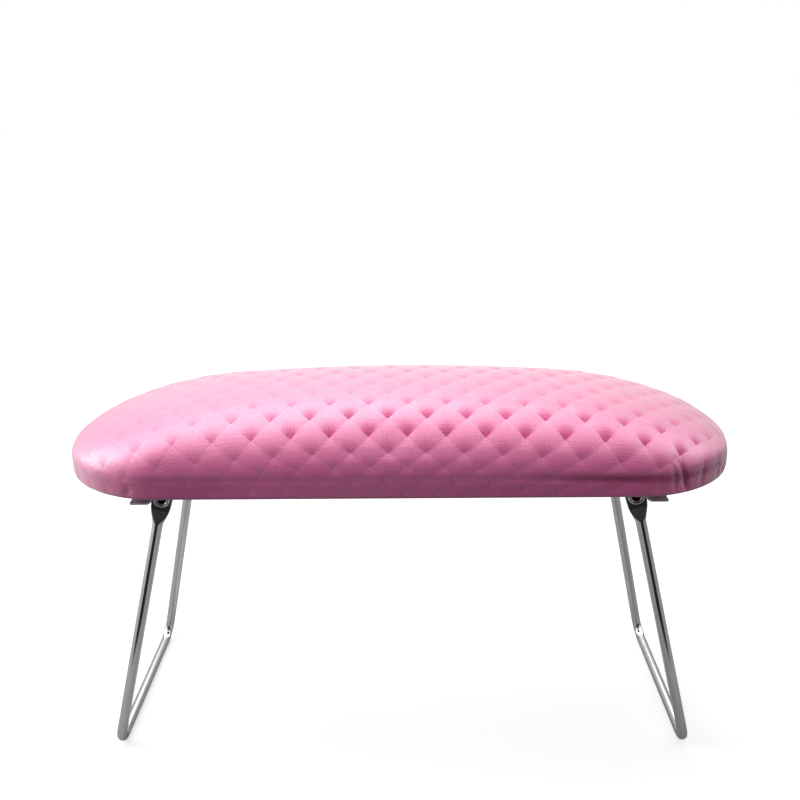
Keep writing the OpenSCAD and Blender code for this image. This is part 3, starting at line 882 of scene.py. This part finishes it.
def leatherette(name, colour, start, along, across, relief, coat, tilt, down, lean, light_faded):
    """Quilted leatherette. The pink deepens in speckles and in the rays of the fans, with painted shade along the
    fans' fold edges, pales at the crease lines as a painted highlight, and turns dark where shade is painted. A
    soft sheen and a wide, glossy coat veil it, and fans and painted shade take the coat away. The emboss and the
    weave are bump heights in metres. On a light-faded sheet the fans' colour is weakened, as painted light,
    towards its left end, over its top and down its wall, where light washes them out, and their gloss loss and
    emboss with it; low on the wall their rays pale as a painted highlight, and behind its crown they have half of
    their colour."""
    material, tree, shader = new_material(name)
    fabric = put(tree, "ShaderNodeUVMap", uv_map="fabric").outputs[0]
    cells = put(tree, "ShaderNodeGroup", {
        "Fabric": fabric, "Along": along, "Across": across, "Start U": start[0], "Start V": start[1],
        "Tilt": tilt, "Down": down, "Across lean": lean}, node_tree=DIAMONDS).outputs
    threads = put(tree, "ShaderNodeGroup", {"Fabric": fabric, "Pitch": THREAD_PITCH}, node_tree=WEAVE).outputs
    deep = scaled(colour, DEEP_SHARE)
    pale = scaled(colour, HIGHLIGHT_SHARE)
    shade = plus(tree, times(tree, threads["Speckle"], 0.65), times(tree, noise(tree, fabric, 22.0, 3.0), 0.35))
    worn = mix_colour(tree, shade, (*colour, 1), deep)
    spot = put(tree, "ShaderNodeSeparateXYZ", {0: fabric}).outputs
    # Fans fade where light washes them out, on the left, over the top and down the wall: painted light
    left = ramp(tree, spot["X"], -0.135, -0.02, 0.30, 1.0)
    top = ramp(tree, spot["Y"], -0.050, -0.020, 1.0, 0.34)
    wall = ramp(tree, spot["Y"], -0.069, -0.060, 0.30, 1.0)
    foot = ramp(tree, spot["Y"], -0.078, -0.071, 1.0, 0.0)
    fan_light_share = times(tree, left, top, wall)
    ahead = ramp(tree, spot["Y"], 0.0, 0.045, 1.0, 0.0)
    shares = []
    for behind in (0.5, 1.0):
        share = less(tree, behind, times(tree, less(tree, behind, fan_light_share), ahead))
        shares.append(plus(tree, times(tree, share, light_faded), 1 - light_faded))
    coloured, raised = shares
    fan = times(tree, cells["Fan"], coloured)
    rayed = mix_colour(tree, times(tree, cells["Rays"], coloured), worn, deep)
    # Low on the front wall the fans' rays pale: a painted highlight
    corner = mix_colour(tree, times(tree, times(tree, foot, cells["Rays"]), 0.30 * light_faded), rayed, pale)
    # The crease lines pale, most near the crossings: a painted highlight
    strength = plus(tree, times(tree, cells["Crossing"], 0.55), 0.07)
    line = times(tree, cells["Crease"], less(tree, 1, cells["Fan"]), strength)
    lined = mix_colour(tree, line, corner, pale)
    # Painted shade in the seam, folds, low band and end walls darkens the pink and takes the coat away
    soil = painted_shade_value(tree)
    dark = scaled(deep, PAINTED_SHADE_SHARE)
    tree.links.new(mix_colour(tree, soil, lined, dark), shader.inputs["Base Color"])
    gloss = times(tree, less(tree, 1, times(tree, fan, 0.9)), coat, less(tree, 1, times(tree, soil, 0.75)))
    tree.links.new(gloss, shader.inputs["Coat Weight"])
    tree.links.new(plus(tree, times(tree, threads["Speckle"], 0.12), 0.42), shader.inputs["Roughness"])
    emboss = times(tree, cells["Puff"], relief, raised)
    linen = times(tree, threads["Height"], THREAD_BUMP)
    add_bump(tree, shader, plus(tree, emboss, linen), Normal=cells["Normal"])
    fill_inputs(shader, {"Specular IOR Level": 0.4, "Sheen Weight": 0.9, "Sheen Roughness": 0.45,
                         "Sheen Tint": (0.94, 1.0, 0.95, 1), "Coat IOR": 1.9, "Coat Roughness": 0.46})
    return material


def metal(name, colour, roughness, smear, scratch):
    """Plated steel: roughness and colour change with handling marks, over fine lines as a bump. Where shade is
    painted, in the rivets' hollows, it is nearly black."""
    material, tree, shader = new_material(name)
    place = object_place(tree)
    marks = put(tree, "ShaderNodeGroup", {"Place": place}, node_tree=WEAR).outputs
    smeared = times(tree, marks["Smear"], smear)
    worn = mix_colour(tree, smeared, (*colour, 1), scaled(colour, DULL_SHARE))
    # Painted shade, nearly black, where a mesh marks it: the rivets' hollows
    soil = painted_shade_value(tree)
    shaded_steel = mix_colour(tree, times(tree, soil, 0.9), worn, scaled(colour, HOLLOW_SHADE_SHARE))
    tree.links.new(shaded_steel, shader.inputs["Base Color"])
    tree.links.new(plus(tree, times(tree, smeared, 0.25), roughness), shader.inputs["Roughness"])
    add_bump(tree, shader, times(tree, marks["Scratch"], scratch))
    fill_inputs(shader, {"Metallic": 1})
    return material


def cream_foam(name):
    """Upholstery foam: a pale cream with open pores, painted darker in their pits as shade."""
    material, tree, shader = new_material(name)
    place = object_place(tree)
    pores = put(tree, "ShaderNodeTexVoronoi", {"Vector": place, "Scale": 900.0}).outputs["Distance"]
    cream = mix_colour(tree, pores, (0.72, 0.62, 0.38, 1), (0.92, 0.88, 0.68, 1))
    tree.links.new(cream, shader.inputs["Base Color"])
    add_bump(tree, shader, times(tree, pores, 0.0004))
    fill_inputs(shader, {"Roughness": 0.95})
    return material


def plywood(name):
    """Plywood: long pale grain on the faces and thin dark plies round the edge."""
    material, tree, shader = new_material(name)
    place = object_place(tree)
    grain = noise(tree, stretch(tree, place, (6.0, 120.0, 900.0)), 1.0, 5.0, 0.8)
    wood = mix_colour(tree, grain, (0.42, 0.25, 0.11, 1), (0.78, 0.58, 0.34, 1))
    tree.links.new(wood, shader.inputs["Base Color"])
    tree.links.new(plus(tree, times(tree, grain, 0.2), 0.55), shader.inputs["Roughness"])
    return material


def grey_card(name):
    """Stiff card: grey-brown with short fibres."""
    material, tree, shader = new_material(name)
    place = object_place(tree)
    card = mix_colour(tree, noise(tree, place, 700.0, 4.0), (0.07, 0.06, 0.055, 1), (0.20, 0.18, 0.16, 1))
    tree.links.new(card, shader.inputs["Base Color"])
    fill_inputs(shader, {"Roughness": 0.9})
    return material


# Camera, floor and light

def make_camera():
    """The photograph's camera, fitted to the legs and the cushion's outline."""
    data = bpy.data.cameras.new("camera")
    data.sensor_width = 36
    data.lens = 36 * FOCAL_PX / FRAME_PX
    data.shift_y = SHIFT_PX / FRAME_PX
    camera = add_object("camera", data)
    turn, tilt, roll = CAMERA_TURNS
    camera.matrix_world = (Matrix.Translation(CAMERA_PLACE) @ Matrix.Rotation(turn, 4, "Z")
                           @ Matrix.Rotation(tilt, 4, "X") @ Matrix.Rotation(roll, 4, "Z"))
    bpy.context.scene.camera = camera


def area_lamp(name, place, size, power):
    """A soft rectangular lamp at a place, facing the point that all lamps face."""
    data = bpy.data.lights.new(name, "AREA")
    data.shape = "RECTANGLE"
    data.size, data.size_y = size
    data.energy = power
    lamp = add_object(name, data)
    lamp.location = place
    lamp.rotation_mode = "QUATERNION"
    lamp.rotation_quaternion = (Vector(LAMP_AIM) - Vector(place)).to_track_quat("-Z", "Y")


def make_floor():
    """A round floor. The camera sees it pale, with the object's shadow, and brighter away from the object.
    Metal sees it grey, nearly black in two wedges well ahead of the legs, and paler under the cushion. Other
    light sees it in a dim blue grey."""
    turn = 2 * np.pi * np.arange(96) / 96
    radius = np.array([0, 0.5, 8.0])[:, None]
    grid = np.stack([radius * np.cos(turn), radius * np.sin(turn), 0 * radius + 0 * turn], 2)
    floor = make_mesh("floor", grid, flip=True)
    material, tree, shader = new_material("floor_pale")
    path = put(tree, "ShaderNodeLightPath").outputs
    spot = object_place(tree)
    place = put(tree, "ShaderNodeSeparateXYZ", {0: spot}).outputs
    ahead = calc(tree, "MAXIMUM", times(tree, place["Y"], -1), 0.01)
    out, off = calc(tree, "ABSOLUTE", place["X"]), calc(tree, "ABSOLUTE", place["Y"])
    slope = calc(tree, "DIVIDE", less(tree, out, 0.16), ahead)
    beside = ramp(tree, calc(tree, "ABSOLUTE", less(tree, slope, 0.22)), 0.42, 0.62)
    near = ramp(tree, ahead, 0.18, 0.26, 1.0, 0.0)
    wedges = ramp(tree, calc(tree, "MAXIMUM", beside, near), 0.0, 1.0, 0.02, 0.36, smooth=False)
    below = ramp(tree, calc(tree, "MAXIMUM", off, less(tree, out, 0.10)), 0.050, 0.075, 0.5, 0.0)
    mirrored = times(tree, calc(tree, "MAXIMUM", wedges, below), path["Is Glossy Ray"])
    level = calc(tree, "MAXIMUM", mirrored, times(tree, path["Is Camera Ray"], 0.56))
    pale = put(tree, "ShaderNodeCombineColor", {0: level, 1: level, 2: level}).outputs[0]
    seen = calc(tree, "MAXIMUM", path["Is Camera Ray"], path["Is Glossy Ray"])
    tree.links.new(mix_colour(tree, seen, (0.18, 0.175, 0.235, 1), pale), shader.inputs["Base Color"])
    away = put(tree, "ShaderNodeVectorMath", {0: spot}, operation="LENGTH").outputs["Value"]
    glow = times(tree, path["Is Camera Ray"], ramp(tree, away, 0.5, 1.6, 0.60, 1.0))
    tree.links.new(glow, shader.inputs["Emission Strength"])
    fill_inputs(shader, {"Roughness": 1, "Specular IOR Level": 0, "Emission Color": (1, 1, 1, 1)})
    floor.data.materials.append(material)
    floor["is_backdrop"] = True


def make_world():
    """A pale studio. Scattered light is even, and weaker from the right. Gloss sees it dark in front, where the
    camera stands, and bright behind, dimmer to the far left, low behind and low at the right. The camera
    itself sees white."""
    world = bpy.data.worlds.new("studio")
    world.use_nodes = True
    tree = world.node_tree
    shade = tree.nodes["Background"]
    split = put(tree, "ShaderNodeSeparateXYZ", {0: put(tree, "ShaderNodeTexCoord").outputs["Generated"]}).outputs
    front = ramp(tree, split["Y"], -0.80, -0.05, 0.04, 3.3, smooth=False)
    behind = ramp(tree, split["Y"], -0.1, 0.6, 0.0, -0.5, smooth=False)
    beyond = ramp(tree, split["X"], 0.30, 0.85, 1.0, 0.90)
    nearer = ramp(tree, split["X"], -0.92, -0.40, 0.42, 1.0)
    low_behind = times(tree, ramp(tree, split["Z"], 0.56, 0.70, 0.76, 0.0), ramp(tree, split["Y"], 0.3, 0.6))
    low_right = times(tree, ramp(tree, split["Z"], 0.05, 0.50, 0.9, 0.0), ramp(tree, split["X"], 0.35, 0.75))
    mirrored = times(tree, plus(tree, front, behind), beyond, nearer, less(tree, 1, low_behind),
                     less(tree, 1, low_right))
    scattered = times(tree, ramp(tree, split["X"], 0.30, 0.85, 1.0, 0.45), WORLD_SPREAD)
    path = put(tree, "ShaderNodeLightPath").outputs
    spread = plus(tree, times(tree, path["Is Diffuse Ray"], scattered),
                  times(tree, less(tree, 1, path["Is Diffuse Ray"]), mirrored))
    tree.links.new(calc(tree, "MAXIMUM", spread, path["Is Camera Ray"]), shade.inputs["Strength"])
    fill_inputs(shade, {"Color": (1, 1, 1, 1)})
    bpy.context.scene.world = world


def add_piece(piece, body, slot, material, *nodes):
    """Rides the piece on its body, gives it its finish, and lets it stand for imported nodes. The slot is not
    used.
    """
    piece.data.materials.append(material)
    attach(piece, body)
    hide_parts(*nodes)
    return piece


make_camera()
make_floor()
make_world()
DIAMONDS = diamond_group()
WEAVE = weave_group()
WEAR = wear_group()
pink = leatherette("pink_leatherette", (0.73, 0.145, 0.37), DIAMOND_START, DIAMOND_ALONG, DIAMOND_ACROSS,
                   relief=0.0002, coat=1.0, tilt=0.12, down=1.0, lean=0.0, light_faded=1.0)
backing_pink = leatherette("backing_leatherette", (0.80, 0.16, 0.40), UNDER_DIAMOND_START, UNDER_DIAMOND_ALONG,
                           UNDER_DIAMOND_ACROSS, relief=0.0003, coat=0.3, tilt=0.30, down=0.0, lean=1.0,
                           light_faded=0.0)
foam_cream = cream_foam("cream_foam")
plate_metal = metal("plated_sheet", (0.80, 0.80, 0.80), roughness=0.36, smear=0.8, scratch=0.000012)
rivet_metal = metal("plated_rivet", (0.72, 0.72, 0.73), roughness=0.14, smear=0.5, scratch=0.000002)
screw_metal = metal("plated_screw", (0.76, 0.76, 0.76), roughness=0.12, smear=0.5, scratch=0.000001)
leg_metal = metal("polished_chrome", (0.72, 0.73, 0.74), roughness=0.07, smear=0.25, scratch=0.0000005)

cover = add_piece(make_cover(), "cushion", "cover_leatherette", pink, "top_cover")
add_piece(make_backing(), "cushion", "backing_leatherette", backing_pink, "backing_cover")
foam = add_piece(make_foam(), "cushion", "foam", foam_cream, "foam_pad")
for node, material in (("base_board", plywood("pale_plywood")), ("backing_card", grey_card("grey_card")),
                       ("cover_staples", screw_metal)):
    for slot in frame["nodes"][node].material_slots:
        slot.material = material
SCREW_TURNS = {"front": 0.5, "rear": 1.1, "outer": 0.2}
for word, side in (("left", -1), ("right", 1)):
    add_piece(make_plate(word + "_hinge_plate"), "cushion", "plate_steel", plate_metal, word + "_hinge_plate")
    for place, turned in SCREW_TURNS.items():
        screw = word + "_screw_" + place
        add_piece(make_screw(screw, turned * side), "cushion", "fastener_steel", screw_metal, screw)
    for place, end in (("front", -1), ("rear", 1)):
        rivet = word + "_rivet_" + place
        add_piece(make_rivet(rivet, side, end), "cushion", "rivet_steel", rivet_metal, rivet)
    leg = word + "_leg"
    add_piece(make_leg(leg + "_wire", side), leg, "leg_chrome", leg_metal, leg)

for name, (place, size, power) in LAMPS.items():
    area_lamp(name, place, size, power)

bpy.context.scene.view_settings.view_transform = "Standard"
size = {"cad": [list(corner) for corner in CAD_BOX], "visual": [list(corner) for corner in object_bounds()]}
